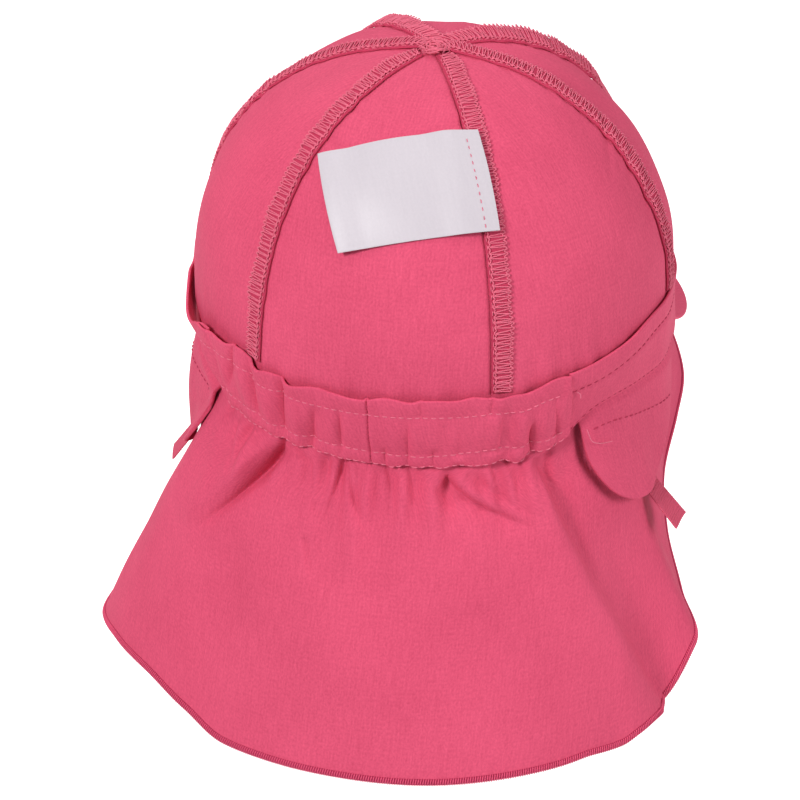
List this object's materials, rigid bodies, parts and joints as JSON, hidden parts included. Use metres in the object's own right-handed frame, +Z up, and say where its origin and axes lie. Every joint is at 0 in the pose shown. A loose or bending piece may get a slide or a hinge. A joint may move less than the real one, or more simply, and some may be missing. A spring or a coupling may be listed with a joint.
{
  "type": "legionnaire cap",
  "caption": "Baby's pink cotton legionnaire cap, inside out, with a seamed crown, gathered back band, neck flap, ear flaps with ribbon ends, soft peak and bare label.",
  "frame": {"origin": "centre of the head opening at the widest level of the crown, where the head holds the cap", "axes": "+Z up through the crown, -Y towards the front and the peak, +Y towards the back and the neck flap, -X towards the wearer's right"},
  "size_m": [0.1855, 0.2201, 0.1872],
  "materials": {
    "cotton": "pink cotton poplin, plain weave, matt",
    "seam_overlock": "pink overlock thread over cotton edges",
    "ribbon": "pink grosgrain ribbon, cross-ribbed",
    "label_satin": "white satin, bare"
  },
  "bodies": {
    "root": {"crown_panel_back": "cotton", "crown_panel_back_right": "cotton", "crown_panel_front_right": "cotton", "crown_panel_front": "cotton", "crown_panel_front_left": "cotton", "crown_panel_back_left": "cotton", "crown_seam_back_right": "seam_overlock", "crown_seam_right": "seam_overlock", "crown_seam_front_right": "seam_overlock", "crown_seam_front_left": "seam_overlock", "crown_seam_left": "seam_overlock", "crown_seam_back_left": "seam_overlock", "band_back_casing": "cotton", "band_front": "cotton", "neck_flap": "cotton", "ear_flap_left": "cotton", "ear_flap_right": "cotton", "tie_ribbon_left": "ribbon", "tie_ribbon_right": "ribbon", "peak": "cotton", "label": "label_satin"}
  },
  "joints": []
}
